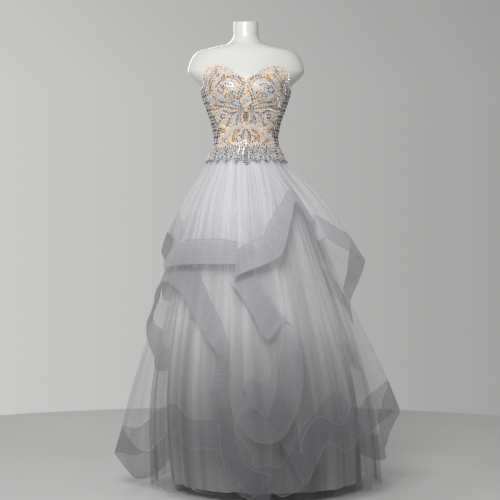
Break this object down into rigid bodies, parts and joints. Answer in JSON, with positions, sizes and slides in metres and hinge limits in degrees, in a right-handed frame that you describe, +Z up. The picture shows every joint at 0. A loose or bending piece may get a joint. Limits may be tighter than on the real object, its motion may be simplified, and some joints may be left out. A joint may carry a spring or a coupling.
{
  "type": "ball gown on a limbless dress form",
  "caption": "Strapless floor-length ball gown with a beaded bodice and cascading horsehair-edged tulle layers, on a limbless dress form.",
  "frame": {"origin": "on the floor, under the axis of the stand's pole", "axes": "+Z up, the front of the gown faces -Y, +X to the right of someone who looks at the front"},
  "size_m": [0.9562, 0.9001, 1.5878],
  "materials": {
    "form_lacquer": "white lacquered glass-fibre, high gloss",
    "stand_steel": "brushed steel",
    "bodice_mesh": "nude satin under embroidered mesh, hand beaded",
    "applique": "silver beaded lace applique",
    "zip": "silver zip coil, slider and pull",
    "satin": "white satin lining",
    "tulle": "sheer silver-grey tulle",
    "horsehair": "grey-lavender horsehair braid"
  },
  "bodies": {
    "root": {"form_torso": "form_lacquer", "form_pole": "stand_steel", "form_base": "stand_steel", "bodice_centre_front": "bodice_mesh", "bodice_side_front_left": "bodice_mesh", "bodice_side_front_right": "bodice_mesh", "bodice_back_left": "bodice_mesh", "bodice_back_right": "bodice_mesh", "applique_front": "applique", "applique_back": "applique", "zip_coil": "zip", "zip_slider": "zip", "skirt_lining": "satin", "tulle_underskirt": "tulle", "low_layer": "tulle", "low_layer_band": "horsehair", "left_cascade": "tulle", "left_cascade_band": "horsehair", "centre_cascade": "tulle", "centre_cascade_band": "horsehair", "top_layer": "tulle", "top_layer_band": "horsehair"},
    "zip_pull": {"zip_pull": "zip"}
  },
  "joints": [
    {"name": "zip_pull_hinge", "type": "hinge", "parent": "root", "child": "zip_pull", "pos_m": [0, 0.1072, 1.331], "axis": [1, 0, 0], "range_deg": [0, 150]}
  ]
}
